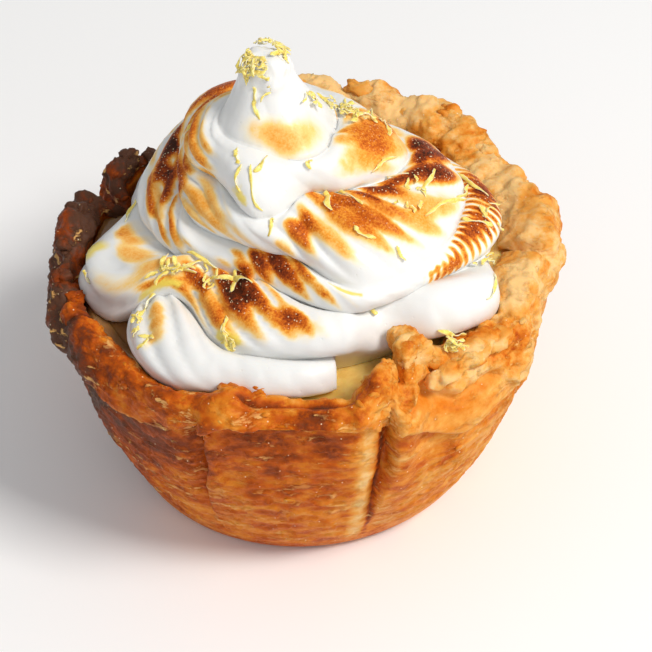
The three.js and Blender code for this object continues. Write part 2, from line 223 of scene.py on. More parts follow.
# travel, height across the pass, half travel, half height, how brown (over 1 is nearly black)
TOASTED = [
    (60, 0.55, 3, 0.1, 0.42),
    (57, 0.49, 3, 0.1, 0.4),
    (54, 0.43, 2.6, 0.09, 0.34),
    (170, 0.6, 22, 0.25, 0.6),
    (222, 0.62, 14, 0.2, 0.8),
    (272, 0.72, 14, 0.22, 0.85),
    (377, 0.53, 11, 0.16, 0.8),
    (397, 0.58, 18, 0.2, 1.1),
    (403, 0.36, 16, 0.2, 0.55),
    (417, 0.47, 10, 0.15, 0.8),
    (430, 0.66, 10, 0.11, 0.34),
    (441, 0.84, 8, 0.09, 0.34),
    (456, 0.9, 5, 0.08, 0.5),
    (449, 0.94, 4, 0.05, 0.42),
    (560, 0.6, 22, 0.28, 0.7),
    (600, 0.5, 12, 0.2, 0.4),
    (640, 0.58, 14, 0.32, 0.8),
    (660, 0.66, 14, 0.28, 0.8),
    (676, 0.52, 9, 0.22, 0.65),
    (683, 0.72, 4, 0.09, 0.5),
    (743, 0.58, 22, 0.28, 1.05),
    (797, 0.62, 14, 0.08, 0.6),
    (816, 0.44, 28, 0.06, 0.7),
    (818, 0.53, 24, 0.08, 0.35),
    (824, 0.64, 20, 0.11, 0.95),
    (845, 0.69, 15, 0.14, 1.15),
    (905, 0.62, 30, 0.28, 0.75),
    (950, 0.5, 14, 0.2, 0.5),
    (996, 0.62, 12, 0.22, 0.9),
    (1002, 0.76, 22, 0.24, 1.05),
    (1009, 0.6, 17, 0.22, 0.95),
    (1032, 0.76, 24, 0.16, 0.95),
    (1035, 0.42, 13, 0.2, 0.42),
    (1056, 0.56, 28, 0.24, 0.6),
    (1060, 0.74, 20, 0.18, 0.72),
    (1086, 0.54, 11, 0.2, 0.72),
    (1140, 0.46, 24, 0.28, 0.42),
    (1172, 0.56, 12, 0.3, 0.85),
    (1240, 0.6, 34, 0.3, 0.8),
    (1310, 0.55, 18, 0.24, 0.6),
    (1352, 0.44, 16, 0.26, 0.56),
    (1371, 0.54, 36, 0.44, 0.62),
    (1508, 0.26, 9, 0.12, 0.45),
    (1536, 0.5, 32, 0.22, 0.6),
    (1600, 0.6, 40, 0.3, 0.6),
    (1715, 0.62, 16, 0.22, 0.55),
    (1800, 0.15, 46, 0.17, 0.38),
    (2160, 0.15, 60, 0.17, 0.38),
]

# where toasting is combed in thin stripes: travel, half width, degrees per stripe
COMBED = (660, 60, 3.1)

# wet smears of lemon: travel, height across the pass, half travel, half height
SMEARS = [
    (424, 0.37, 6.5, 0.06),
    (1475, 0.31, 4.6, 0.09),
    (394, 0.15, 4, 0.08),
    (717, 0.86, 4.2, 0.06),
    (452, 0.72, 3, 0.06),
]

# knobs of dough on the rim: angle, radius, height, width, depth, tallness, lean outwards, how baked, with
# shade painted into the dark knobs on the left and back-left
KNOBS = [
    (284.5, 40.6, 47.6, 6.4, 4.4, 5.4, -20, 0.24),
    (287.5, 40, 49.2, 4.2, 4.4, 6, -24, 0.2),
    (296.5, 37.4, 49.6, 7.2, 5.2, 8.4, -10, 0.16),
    (253, 38, 46.6, 9, 5, 4.6, 0, 0.42),
    (249, 40.4, 47, 6, 4.4, 3.6, 0, 0.45),
    (302, 41.8, 46.2, 8, 4.2, 4.6, 10, 0.16),
    (307, 42, 46.8, 8, 4.4, 3.8, 10, 0.14),
    (312.5, 41.6, 46.9, 8.6, 5, 3.2, 0, 0.2),
    (319, 42, 46.6, 8, 4.4, 3, 0, 0.3),
    (199, 44.2, 46.8, 6.4, 5, 4, 0, 0.72),
    (193, 43.4, 46.4, 5, 4.4, 3.6, 0, 0.8),
    (206, 42.6, 46, 4.6, 4, 3.4, 0, 0.5),
    (166, 43.4, 50, 6, 5, 4.4, 0, 1.05),
    (176, 44.2, 49.4, 5.2, 4.4, 4, 0, 1),
    (186, 44.6, 47.6, 4.8, 3.8, 3.4, 0, 0.9),
    (141, 42.6, 48.6, 6.4, 5, 4.6, 0, 1.1),
    (134, 41, 47, 5.4, 4.6, 4, 0, 1.1),
    (36, 42.4, 47, 7, 5, 3.4, 0, 0.12),
    (52, 44.8, 48.8, 8.6, 5, 4.2, 0, 0.18),
    (61, 42.8, 47.6, 6.6, 4.6, 3.4, 0, 0.1),
    (74, 44.6, 49.8, 8.6, 4.8, 4.2, 0, 0.2),
    (91, 44.8, 50, 9, 4.8, 4.4, 0, 0.3),
    (8, 43, 47.8, 7.6, 4.6, 3, 0, 0.1),
]

# zest: travel, height across the pass, length, heading, curl in degrees
SHREDS = [
    (63, 0.42, 6, 60, 40),
    (58, 0.34, 4, 150, 40),
    (56, 0.26, 3, 100, -40),
    (308, 0.72, 7, -30, 50),
    (331, 0.36, 7, 200, -40),
    (345, 0.73, 3, 60, 60),
    (394, 0.2, 4, 60, 90),
    (400, 0.52, 7, 60, -50),
    (410, 0.56, 8, 160, 40),
    (418, 0.53, 7, 30, 50),
    (426, 0.55, 6, 60, 90),
    (446, 0.53, 3, 80, 30),
    (461, 0.9, 6, 20, 50),
    (644, 0.55, 7, 150, 30),
    (655, 0.43, 6, 70, 30),
    (771, 0.42, 7, 15, -60),
    (1020, 0.78, 6, 70, 40),
    (1028, 0.5, 8, 160, 30),
    (1034, 0.4, 12, 200, 25),
    (1022, 0.34, 9, 190, -30),
    (1052, 0.64, 7, 80, -30),
    (1053, 0.15, 3, 90, 40),
    (1058, 0.38, 4, 60, 60),
    (1067, 0.62, 6, 110, 50),
    (1102, 0.72, 5, 100, -40),
    (1352, 0.72, 6, 170, 40),
    (1356, 0.52, 6, 190, 50),
    (1363, 0.4, 5, 160, -50),
    (1391, 0.3, 6, 190, 30),
    (1426, 0.8, 6, 100, 60),
    (1463, 0.16, 8, 80, 40),
    (1466, 0.62, 4, 120, -50),
    (1474, 0.36, 5, 90, 60),
    (1477, 0.65, 3, 60, 70),
    (1541, 0.28, 3, 60, 70),
    (1826, 0.26, 6, 80, 30),
]

# tangles of short shreds: travel, height across the pass, reach along and across, number
TANGLES = [
    (1840, 0.84, 34, 0.12, 26),
    (1850, 0.93, 70, 0.03, 16),
    (2060, 0.88, 60, 0.06, 14),
    (1990, 0.86, 40, 0.08, 8),
    (1800, 0.6, 12, 0.1, 5),
    (2084, 0.34, 10, 0.08, 5),
    (1693, 0.66, 14, 0.16, 9),
    (1345, 0.84, 10, 0.12, 12),
    (1353, 0.72, 8, 0.1, 6),
    (1030, 0.6, 16, 0.16, 8),
    (650, 0.62, 8, 0.14, 5),
    (426, 0.54, 4, 0.06, 12),
    (410, 0.54, 10, 0.08, 7),
    (394, 0.2, 2.5, 0.05, 6),
    (60, 0.4, 3, 0.08, 5),
    (303, 0.9, 5, 0.06, 5),
]

# the same on the pastry's rim: angle, radius, height, reach, number
RIM_TANGLE = (306.5, 40.6, 50.4, 2.4, 16)
SHRED_WIDTH = 0.95


# ---- Helpers, all on arrays ----


def clamp(x):
    return np.clip(x, 0, 1)


def smoothstep(x, low, high):
    t = clamp((x - low) / (high - low))
    return t * t * (3 - 2 * t)


def hump(x, middle, half_width):
    t = clamp(1 - ((x - middle) / half_width) ** 2)
    return t * t


def turn_between(a, b):
    return (a - b + 180) % 360 - 180


def angular_hump(angle, middle, half_width):
    return hump(turn_between(angle, middle), 0, half_width)


def lattice(i, j, k, seed):
    h = i * 374761393 + j * 668265263 + k * 2147483647 + seed * 1274126177
    h = (h ^ (h >> 13)) * 1274126177
    return ((h ^ (h >> 16)) & 0xFFFFFF) / 0x7FFFFF - 1.0


def noise(points, size, seed=0):
    """Smooth value noise of -1 to 1, with lumps of about size."""
    p = points / np.asarray(size, float)
    cell = np.floor(p).astype(np.int64)
    f = p - cell
    f = f * f * (3 - 2 * f)
    total = 0.0
    for corner in product((0, 1), repeat=3):
        weights = [f[..., axis] if far else 1 - f[..., axis] for axis, far in enumerate(corner)]
        i, j, k = np.moveaxis(cell + corner, -1, 0)
        total = total + weights[0] * weights[1] * weights[2] * lattice(i, j, k, seed)
    return total


def layered(points, size, octaves, seed=0):
    size = np.asarray(size, float)
    total, weight = 0.0, 1.0
    for octave in range(octaves):
        total = total + weight * noise(points, size, seed + 17 * octave)
        size, weight = size / 2, weight / 2
    return total


def cells(points, size, seed=0):
    """Distance to the nearest of scattered points, in units of size."""
    p = points / np.asarray(size, float)
    cell = np.floor(p).astype(np.int64)
    nearest = np.full(points.shape[:-1], 9.0)
    for step in product((-1, 0, 1), repeat=3):
        i, j, k = np.moveaxis(cell + step, -1, 0)
        away = [
            index + 0.5 + 0.45 * lattice(i, j, k, seed + axis) - p[..., axis]
            for axis, index in enumerate((i, j, k))
        ]
        nearest = np.minimum(nearest, np.sqrt(away[0] ** 2 + away[1] ** 2 + away[2] ** 2))
    return nearest


def polar(radius, angle, z):
    a = np.radians(angle)
    return np.stack(np.broadcast_arrays(radius * np.cos(a), radius * np.sin(a), z), -1)


def unit(v):
    return v / (np.linalg.norm(v, axis=-1, keepdims=True) + 1e-12)


# ---- Meshes ----


def numbered(grid):
    return np.arange(grid.size).reshape(grid.shape)


def quads_between(grid):
    """Quads of a grid of vertex numbers, rows by columns."""
    a, b = grid[:-1, :-1], grid[1:, :-1]
    c, d = grid[1:, 1:], grid[:-1, 1:]
    return np.stack([a, b, c, d], -1).reshape(-1, 4).tolist()


def add_object(name, data):
    thing = bpy.data.objects.new(name, data)
    bpy.context.collection.objects.link(thing)
    return thing


def make_object(name, points, faces, material, slot, **values):
    """A smooth mesh object in metres that rides on the pie, with point attributes from values."""
    mesh = bpy.data.meshes.new(name)
    points = points.reshape(-1, 3) * MM
    mesh.from_pydata(points.tolist(), [], [list(map(int, f)) for f in faces])
    mesh.validate()
    mesh.polygons.foreach_set("use_smooth", np.ones(len(mesh.polygons), bool))
    for key, value in values.items():
        attribute = mesh.attributes.new(key, "FLOAT", "POINT")
        attribute.data.foreach_set("value", np.ascontiguousarray(value, np.float32).ravel())
    mesh.materials.append(material)
    mesh.update()
    piece = add_object(name, mesh)
    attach(piece, BODY)
    return piece


def grid_normals(points, wrap):
    if wrap:
        du = np.roll(points, -1, 0) - np.roll(points, 1, 0)
    else:
        du = np.gradient(points, axis=0)
    return unit(np.cross(du, np.gradient(points, axis=1)))


def spline_rows(stations, steps):
    """Smooth rows through stations of (radius, height), with steps[k] rows in span k."""
    out = []
    for axis in (0, 1):
        x = np.array(np.broadcast_arrays(*(s[axis] for s in stations)))
        rows = []
        for k in range(len(x) - 1):
            p0, p1, p2, p3 = x[max(k - 1, 0)], x[k], x[k + 1], x[min(k + 2, len(x) - 1)]
            square = 2 * p0 - 5 * p1 + 4 * p2 - p3
            cube = 3 * p1 - p0 - 3 * p2 + p3
            for t in np.arange(steps[k]) / steps[k]:
                rows.append(0.5 * (2 * p1 + (p2 - p0) * t + square * t**2 + cube * t**3))
        rows.append(x[-1])
        out.append(np.array(rows).T)
    return out


# ---- Node materials ----


class Nodes:
    """A material's node tree, with short calls that add a node and link its inputs."""

    def __init__(self, name):
        self.material = bpy.data.materials.new(name)
        self.material.use_nodes = True
        self.tree = self.material.node_tree
        self.shader = self.tree.nodes["Principled BSDF"]
        self.place = self.add("ShaderNodeTexCoord").outputs["Object"]

    def add(self, kind, inputs=(), **settings):
        node = self.tree.nodes.new(kind)
        for key, value in settings.items():
            setattr(node, key, value)
        for key, value in dict(inputs).items():
            self.plug(node.inputs[key], value)
        return node

    def plug(self, socket, value):
        if isinstance(value, bpy.types.NodeSocket):
            self.tree.links.new(value, socket)
        else:
            socket.default_value = value

    def set(self, name, value):
        self.plug(self.shader.inputs[name], value)

    def let_light_in(self, weight, radius, scale_mm):
        self.shader.subsurface_method = "RANDOM_WALK"
        self.set("Subsurface Weight", weight)
        self.set("Subsurface Radius", radius)
        self.set("Subsurface Scale", scale_mm * MM)

    def attribute(self, name):
        return self.add("ShaderNodeAttribute", attribute_name=name).outputs["Fac"]

    def noise(self, per_mm, detail=3.0, roughness=0.55, stretch=None):
        """Noise with per_mm lumps in a millimetre."""
        place = self.place
        if stretch:
            place = self.add("ShaderNodeMapping", {"Vector": place, "Scale": stretch}).outputs[0]
        inputs = {"Vector": place, "Scale": per_mm / MM, "Detail": detail, "Roughness": roughness}
        return self.add("ShaderNodeTexNoise", inputs).outputs["Fac"]

    def cells(self, per_mm):
        inputs = {"Vector": self.place, "Scale": per_mm / MM}
        return self.add("ShaderNodeTexVoronoi", inputs).outputs["Distance"]

    def map(self, value, low, high, to_low=0.0, to_high=1.0):
        inputs = {0: value, 1: low, 2: high, 3: to_low, 4: to_high}
        return self.add("ShaderNodeMapRange", inputs, interpolation_type="SMOOTHSTEP").outputs[0]

    def math(self, operation, a, b=0.0):
        return self.add("ShaderNodeMath", {0: a, 1: b}, operation=operation).outputs[0]

    def mix(self, factor, a, b):
        return self.add("ShaderNodeMix", {0: factor, 6: a, 7: b}, data_type="RGBA").outputs[2]

    def ramp(self, value, stops):
        node = self.add("ShaderNodeValToRGB", {"Fac": value})
        elements = node.color_ramp.elements
        while len(elements) < len(stops):
            elements.new(0.5)
        for element, (at, *colour) in zip(elements, stops):
            element.position = at
            element.color = srgb(*colour)
        return node.outputs["Color"]

    def bump(self, height, distance_mm, strength=1.0, normal=None):
        inputs = {"Height": height, "Distance": distance_mm * MM, "Strength": strength}
        if normal is not None:
            inputs["Normal"] = normal
        return self.add("ShaderNodeBump", inputs).outputs["Normal"]


def srgb(red, green, blue):
    """A linear colour from 0-255 display values."""
    c = np.array([red, green, blue]) / 255
    linear = np.where(c <= 0.04045, c / 12.92, ((c + 0.055) / 1.055) ** 2.4)
    return (*linear.tolist(), 1.0)


def meringue_material():
    n = Nodes("meringue")
    toast = n.attribute("toast")
    grain = n.math("SUBTRACT", n.noise(2.4, 3.0, 0.65), 0.5)
    drift = n.math("SUBTRACT", n.noise(0.4, 2.0), 0.5)
    level = n.math("ADD", toast, n.math("MULTIPLY", grain, n.map(toast, 0.05, 0.7, 0.0, 0.8)))
    level = n.math("ADD", level, n.math("MULTIPLY", drift, n.map(toast, 0.05, 0.5, 0.0, 0.3)))
    colour = n.ramp(level, [
        (0, 234, 234, 232),
        (0.08, 244, 234, 212),
        (0.22, 249, 206, 124),
        (0.4, 238, 158, 54),
        (0.6, 204, 100, 20),
        (0.8, 138, 54, 14),
        (1, 64, 27, 10),
    ])
    bubbles = n.map(n.cells(1.5), 0.24, 0.14)
    shown = n.math("MULTIPLY", bubbles, n.map(toast, 0.42, 0.8, 0.0, 0.8))
    colour = n.mix(shown, colour, srgb(246, 222, 180))
    n.set("Base Color", n.mix(n.attribute("smear"), colour, srgb(240, 216, 92)))
    n.set("Roughness", n.map(toast, 0.05, 0.6, 0.34, 0.5))
    n.let_light_in(n.map(toast, 0.0, 0.3, 0.2, 0.02), (1.0, 0.85, 0.7), 1.4)
    n.set("Specular IOR Level", n.map(toast, 0.05, 0.4, 0.45, 0.14))
    pits = n.map(n.cells(0.45), 0.0, 0.12)
    smooth = n.bump(pits, 0.10, 0.5)
    n.set("Normal", n.bump(n.noise(2.4, 3.0), 0.16, n.map(toast, 0.1, 0.7, 0.10, 0.8), smooth))
    return n.material


def crust_material():
    n = Nodes("pastry")
    # the crust's bake attribute: how brown it is, with shade painted in on the left and back-left, under the
    # front lip and in its channel
    bake = n.attribute("bake")
    pale = n.attribute("pale")
    streaks = n.noise(0.22, 4.0, 0.55, (1.0, 1.0, 2.6))
    fine = n.noise(0.9, 6.0, 0.7)
    blotches = n.noise(0.19, 2.0, 0.5, (1.0, 1.0, 1.5))
    level = bake
    for part, amount in ((streaks, 0.45), (fine, n.map(pale, 0.4, 0.9, 0.3, 0.85)), (blotches, 0.75)):
        level = n.math("ADD", level, n.math("MULTIPLY", n.math("SUBTRACT", part, 0.5), amount))
    colour = n.ramp(level, [
        (0, 238, 194, 128),
        (0.2, 232, 164, 76),
        (0.4, 218, 128, 32),
        (0.58, 190, 86, 10),
        (0.76, 134, 56, 12),
        (1, 88, 56, 40),
    ])
    layers = n.noise(0.2, 6.0, 0.62, (1.0, 1.0, 2.8))
    lifted = n.math("MULTIPLY", n.map(layers, 0.585, 0.64), n.map(pale, 0.3, 0.9, 0.3, 0.85))
    colour = n.mix(lifted, colour, srgb(232, 178, 106))
    # painted highlight: small bright glints mixed into the crust's colour
    painted_glints = n.math("MULTIPLY", n.map(n.cells(0.5), 0.085, 0.05), 0.75)
    colour = n.mix(painted_glints, colour, srgb(250, 226, 190))
    n.set("Base Color", colour)
    n.set("Roughness", n.map(fine, 0.35, 0.65, 0.36, 0.55))
    n.set("Specular IOR Level", 0.12)
    n.let_light_in(0.2, (1.0, 0.45, 0.15), 1.2)
    grain = n.bump(n.noise(4.0, 3.0, 0.7), 0.05, 0.8)
    scales = n.bump(n.noise(0.9, 5.0, 0.62, (1.0, 1.0, 1.8)), 0.2, 0.8, grain)
    n.set("Normal", n.bump(n.map(layers, 0.54, 0.63), 0.22, 0.8, scales))
    return n.material


def curd_material():
    n = Nodes("curd")
    cloud = n.noise(0.3, 3.0)
    fresh = n.mix(n.map(cloud, 0.35, 0.65), srgb(252, 218, 132), srgb(238, 194, 104))
    # painted shade: a brown mixed in where the curd lies by the shaded rim at the left
    n.set("Base Color", n.mix(n.attribute("bake"), fresh, srgb(128, 76, 46)))
    n.set("Roughness", 0.16)
    n.set("Coat Weight", 0.4)
    n.set("Coat Roughness", 0.08)
    n.let_light_in(0.5, (1.0, 0.7, 0.2), 2.5)
    n.set("Normal", n.bump(n.noise(0.5, 3.0), 0.25, 0.6))
    return n.material


def zest_material():
    n = Nodes("zest")
    pith = n.attribute("pith")
    spots = n.noise(1.6, 3.0, 0.6)
    yellow = n.mix(n.map(spots, 0.35, 0.65), srgb(255, 232, 132), srgb(244, 210, 96))
    n.set("Base Color", n.mix(n.map(pith, 0.2, 0.9, 0.0, 0.9), yellow, srgb(255, 247, 214)))
    n.set("Roughness", 0.38)
    n.let_light_in(0.3, (1.0, 0.75, 0.25), 0.8)
    n.set("Normal", n.bump(n.noise(2.5, 2.0), 0.12, 0.7))
    return n.material


# ---- The pastry cup ----


def rim_at(angle):
    radius, height, foot = (size + 0 * angle for size in (RIM_RADIUS, RIM_HEIGHT, ROLL_FOOT))
    for *where, out, up, foot_up in RIM_LUMPS:
        h = angular_hump(angle, *where)
        radius, height, foot = radius + out * h, height + up * h, foot + foot_up * h
    return radius, height, foot


def pleat_relief(angle, z):
    relief = 0.0
    for middle, lean, step, fade in PLEATS:
        ragged = 0.6 * np.sin(0.8 * z + middle) + 0.35 * np.sin(2.1 * z + 2 * middle)
        x = turn_between(angle, middle + ragged + lean * (1 - clamp(z / 45)))
        lap = np.where(x < 120, smoothstep(x, -0.7, 0.7) * np.exp(-np.maximum(x, 0) / fade), 0)
        groove = hump(x, -1.9, 2.6)
        relief = relief + step * (lap - 0.9 * groove - 0.9 * hump(x, -0.9, 0.9))
    return relief * smoothstep(z, 9, 26)


def wall_radius(angle, z):
    shift = 0.75 * (rim_at(angle)[0] - RIM_RADIUS)
    flared = BASE_RADIUS + FLARE * (z - 3) + BELLY * np.sin(np.pi * clamp((z - 3) / 38))
    return flared + shift * smoothstep(z, 12, 44) - 0.4 * smoothstep(z, 30, 44) + pleat_relief(angle, z)


def inner_radius(angle, z):
    shift = rim_at(angle)[0] - RIM_RADIUS
    return BASE_RADIUS + FLARE * (z - 3) - PASTRY + 0.4 * shift * smoothstep(z, 12, 39)


def fold_at(angle):
    *where, extra = FOLDED_SIDE
    return extra * angular_hump(angle, *where)


def sloped_in(angle):
    return sum(inwards * angular_hump(angle, *where) for *where, inwards in SLOPED_IN)


def settled(points):
    """The cup stands a little aslant, so its base lies beside the middle of its rim."""
    low = clamp(1 - points[..., 2] / 42)
    points[..., 0] += BASE_SHIFT[0] * low
    points[..., 1] += BASE_SHIFT[1] * low
    return points


def cup_stations(angle):
    radius, height, foot = rim_at(angle)
    stations = [(0, 0), (28.4, 0), (32.7, 1.0), (34.7, 4.0)]
    for step in range(1, 6):
        z = 4.0 + (foot - 4.0) * step / 6
        stations.append((wall_radius(angle, z), z))
    wall = wall_radius(angle, foot)
    fold = fold_at(angle)
    tall = height - foot
    roll = 1 - sum(angular_hump(angle, *where) for where in UNROLLED)
    radius = radius - sloped_in(angle)
    stations += [
        (wall - 0.7 * roll, foot),
        (wall + roll, foot + 0.8),
        ((wall + radius) / 2 + 0.5 + 1.2 * roll, foot + 0.4 * tall),
        (radius + 0.4 + 0.5 * roll, foot + 0.72 * tall),
        (radius - 0.1, height - 0.6),
        (radius - 1.7, height),
        (radius - 3.4 - 0.5 * fold, height - 0.9),
        (radius - 4.4 - fold, height - 3.4 - 0.2 * fold),
        (inner_radius(angle, 39.5) + 0.3 - 0.4 * fold, 39.5),
        (inner_radius(angle, 26), 26),
        (inner_radius(angle, 12), 12),
        (28.6, 5),
        (0, FLOOR),
    ]
    return stations


# rows of the mesh in each span of the section
CUP_STEPS = [3, 5, 5, 12, 12, 12, 12, 12, 12, 4, 8, 10, 8, 6, 7, 9, 8, 3, 2, 2, 2]
LAST_WALL_SPAN = 8
ROLL_SPANS = (9, 15)

# where the rim is torn and shaggy: angle, half width, how much
SHAGGY = [(308, 40, 0.9), (60, 100, 0.6), (172, 60, 0.7)]

# where the torn rim laps over the wall beside the front pleat: angles of its start and end
LAP_START, LAP_END = (287, 291), (315, 326)
LAP_ROW = 11.35

# the thick fold on the right: its angle, and the row where it crosses the rim
RIM_FOLD = (350.5, 13.3)

# the front lip: angle and half width, the row of its channel and the rows of the edges beside it
FRONT_LIP = (264.5, 21)
CHANNEL_ROW = 14.0
LIP_EDGE_ROWS = (12.9, 15.2)

# how the crust browned, with shade painted in: darker on the left and back-left, away from the key light:
# angle, half width, how much more all over, on the wall, on the roll
BROWNED_AND_SHADED = [
    (262, 24, 0.08, 0, 0),
    (180, 44, 0.28, 0, 0),
    (60, 50, -0.07, 0, 0),
    (150, 56, 0, 0, 0.46),
    (212, 30, 0, 0, 0.24),
    (345, 50, 0, 0, -0.16),
    (298, 14, 0, 0, -0.1),
    (212, 40, 0, 0.15, 0),
    # the front pleat: paler beside it, and a dark line painted into its groove as painted shade
    (281.2, 3.4, 0, -0.36, 0),
    (284.8, 1.3, 0, 0.34, 0),
]


def cup_steps():
    return CUP_STEPS


def terraces_at(points):
    """Layers of dough that end in low ragged steps round the wall."""
    around = points * [1.0, 1.0, 3.0]
    rising = (1.9 * layered(around, 11.0, 4, 3)) % 1
    return rising * (1 - smoothstep(rising, 0.9, 1.0)) - 0.45


def dough_relief(points, angles, on_wall, on_roll, shaggy, lumps, terraces):
    """Lumps, layers, blisters and crags of the baked dough."""
    blisters = clamp(0.5 - cells(points, 5.0, 5)) * (layered(points, 12.0, 1, 9) > 0.3)
    crags = np.abs(layered(points, 4.6, 4, 21))
    grain = layered(points, 1.4, 3, 31)
    knobs = np.clip(0.62 - cells(points, 5.2, 15), -0.2, 1)
    calm = 1 - 0.6 * angular_hump(angles, 288, 12)
    wall = 0.36 * lumps + 0.50 * terraces * calm + 0.6 * blisters + 0.07 * grain
    roll = 0.40 * lumps + shaggy * (0.7 - 1.5 * crags + 1.5 * knobs) + 0.25 * terraces
    return on_wall * wall + on_roll * (roll + grain * (0.10 + 0.35 * shaggy))


def fold_relief(angles, row):
    """The thick fold that crosses the rim on the right."""
    middle, crossing = RIM_FOLD
    x = turn_between(angles, middle + 0.8 * (row - crossing) ** 2)
    fold = smoothstep(x, -0.6, 0.9) * np.exp(-np.maximum(x, 0) / 12) - 1.1 * hump(x, -0.8, 1.8)
    return 1.2 * fold * smoothstep(row, 10.5, 13.5) * (row < 18) * (np.abs(x) < 90)


def bake_at(points, angles, height, row, on_wall, on_roll, shaggy):
    """How brown the crust is, with shade painted in, from 0 to a little over 1."""
    # darker towards 220 degrees: partly real browning, partly painted shade on the side away from the key
    # light
    bake = 0.37 + 0.14 * np.cos(np.radians(angles - 220))
    for *where, all_over, wall, roll in BROWNED_AND_SHADED:
        share = angular_hump(angles, *where)
        bake = bake + share * (all_over + wall * on_wall + roll * on_roll)
    # painted shade on the left, away from the key light: the wall darkens as it rises, most on its upper
    # part near 212 degrees
    left, upper_left_shade = angular_hump(angles, 240, 90), angular_hump(angles, 212, 40)
    bake = bake + 0.14 * (smoothstep(height, 6, 36) - 0.6) * on_wall * left
    bake = bake + 0.22 * smoothstep(height, 22, 40) * on_wall * upper_left_shade
    # painted shade: a darker band on the front wall just under the roll of the lip
    shade_under_lip = hump(height, ROLL_FOOT + 1, 4) * angular_hump(angles, 262, 28)
    bake = bake + 0.04 * shade_under_lip * (1 - on_roll) - 0.10 * shaggy * on_roll
    patchy = 0.26 * (0.4 + shaggy) * (1 - 0.75 * angular_hump(angles, 298, 16))
    slopes = hump(row, 10.5, 2.5) + hump(row, 15.6, 1.2)
    slopes = 0.12 * slopes * angular_hump(angles, 50, 75)
    return bake + on_roll * (patchy * layered(points, 9.0, 3, 71) + slopes)


def build_crust(material):
    """The pastry cup. Returns its points, the normals of its plain section and how baked it is, with painted
    shade.
    """
    angle = np.arange(CUP_COLUMNS) * 360.0 / CUP_COLUMNS
    steps = cup_steps()
    radius, height = spline_rows(cup_stations(angle), steps)
    spans = np.append(np.repeat(np.arange(len(steps)), steps), len(steps) - 1)
    angles = angle[:, None] + 0 * radius
    points = settled(polar(radius, angles, height))
    normals = grid_normals(points, True)

    on_wall = smoothstep(height, 2.5, 8) * (spans <= LAST_WALL_SPAN)
    on_roll = ((spans >= ROLL_SPANS[0]) & (spans <= ROLL_SPANS[1])) + 0 * radius
    row = np.concatenate([k + np.arange(count) / count for k, count in enumerate(steps)] + [[len(steps)]])
    row = row + 0.25 * layered(points, 5.0, 2, 35)
    lapped = smoothstep(angles, *LAP_START) * (1 - smoothstep(angles, *LAP_END))
    above_seam = smoothstep(row, 9.3 + 2.1 * lapped, 9.5 + 2.1 * lapped)
    shaggy = 0.3 + sum(much * angular_hump(angles, *where) for *where, much in SHAGGY)
    shaggy = clamp(shaggy) * above_seam
    front = clamp(1.6 * angular_hump(angles, *FRONT_LIP))
    channel = hump(row, CHANNEL_ROW, 0.75) * front
    edges = hump(row, LIP_EDGE_ROWS[0], 0.7) + 1.2 * hump(row, LIP_EDGE_ROWS[1], 0.8)

    lumps, terraces = layered(points, 8.0, 2, 11), terraces_at(points)
    relief = dough_relief(points, angles, on_wall, on_roll, shaggy, lumps, terraces)
    relief = relief + lapped * (0.6 * above_seam - 1.3 * hump(row, LAP_ROW, 0.4))
    relief = relief + fold_relief(angles, row) + (0.5 * edges - 1.2 * channel) * front
    points = points + normals * relief[..., None]

    # painted shade: darker in the front lip's channel, inside the curl
    bake = bake_at(points, angles, height, row, on_wall, on_roll, shaggy) + 0.32 * channel
    pale = clamp(0.45 + 0.9 * terraces + 0.5 * shaggy * on_roll - 0.3 * lumps)
    faces = swept_faces(numbered(radius))
    piece = make_object("crust_baked", points, faces, material, "pastry", bake=bake, pale=pale)
    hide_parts("crust")
    return points, normals, bake


# ---- The lemon curd ----


def build_curd(material):
    angle = np.arange(CURD_COLUMNS) * 360.0 / CURD_COLUMNS
    fold = fold_at(angle)
    shoulder = inner_radius(angle, 39.5) + 0.3 - 0.4 * fold - GAP
    under_rim = rim_at(angle)[0] - sloped_in(angle) - 4.4 - fold - GAP
    edge = np.minimum(shoulder - 0.4, under_rim)
    stations = [
        (0, FLOOR + GAP + 0.8),
        (28.2 - GAP, 5.2 + GAP),
        (inner_radius(angle, 12) - GAP, 12),
        (inner_radius(angle, 26) - GAP, 26),
        (shoulder, 39.5),
        (edge, CURD_TOP + 0.9),
        (edge - 2.5, CURD_TOP + 0.5),
        (edge - 6.0, CURD_TOP),
        (0, CURD_TOP),
    ]
    radius, height = spline_rows(stations, [1, 1, 2, 3, 4, 4, 5, 4])
    points = settled(polar(radius, angle[:, None], height))
    top = (height > CURD_TOP - 0.5) & (radius > 24)
    points[..., 2] += np.where(top, 0.5 * layered(points, 6.0, 2, 77), 0)
    faces = swept_faces(numbered(radius))
    # painted shade: the curd is darkened at the left, beside the rim's shaded inner wall
    painted_shade = angular_hump(angle[:, None], 178, 62) * smoothstep(radius, 27, 33)
    bake = np.clip(1.8 * painted_shade, 0, 0.85)
    piece = make_object("curd_filling", points, faces, material, "curd", bake=bake)
    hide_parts("curd")


def swept_faces(numbers):
    """Faces of a section swept round the axis, closed by a fan at each end."""
    ring = np.concatenate([numbers, numbers[:1]])
    faces = quads_between(ring[:, 1:-1])
    first, last = numbers[0, 0], numbers[0, -1]
    for i in range(len(numbers)):
        faces.append([first, ring[i + 1, 1], ring[i, 1]])
        faces.append([last, ring[i, -2], ring[i + 1, -2]])
    return faces


# ---- The piped meringue ----


def crease(travel):
    turns = travel / 360
    radius = FIRST_RADIUS - 1.05 * turns**1.95
    height = FIRST_HEIGHT + 4.4 * turns + 0.42 * turns**2
    for *where, out, up in CREASE_DENTS:
        h = hump(travel, *where)
        radius, height = radius + out * h, height + up * h
    return radius, height


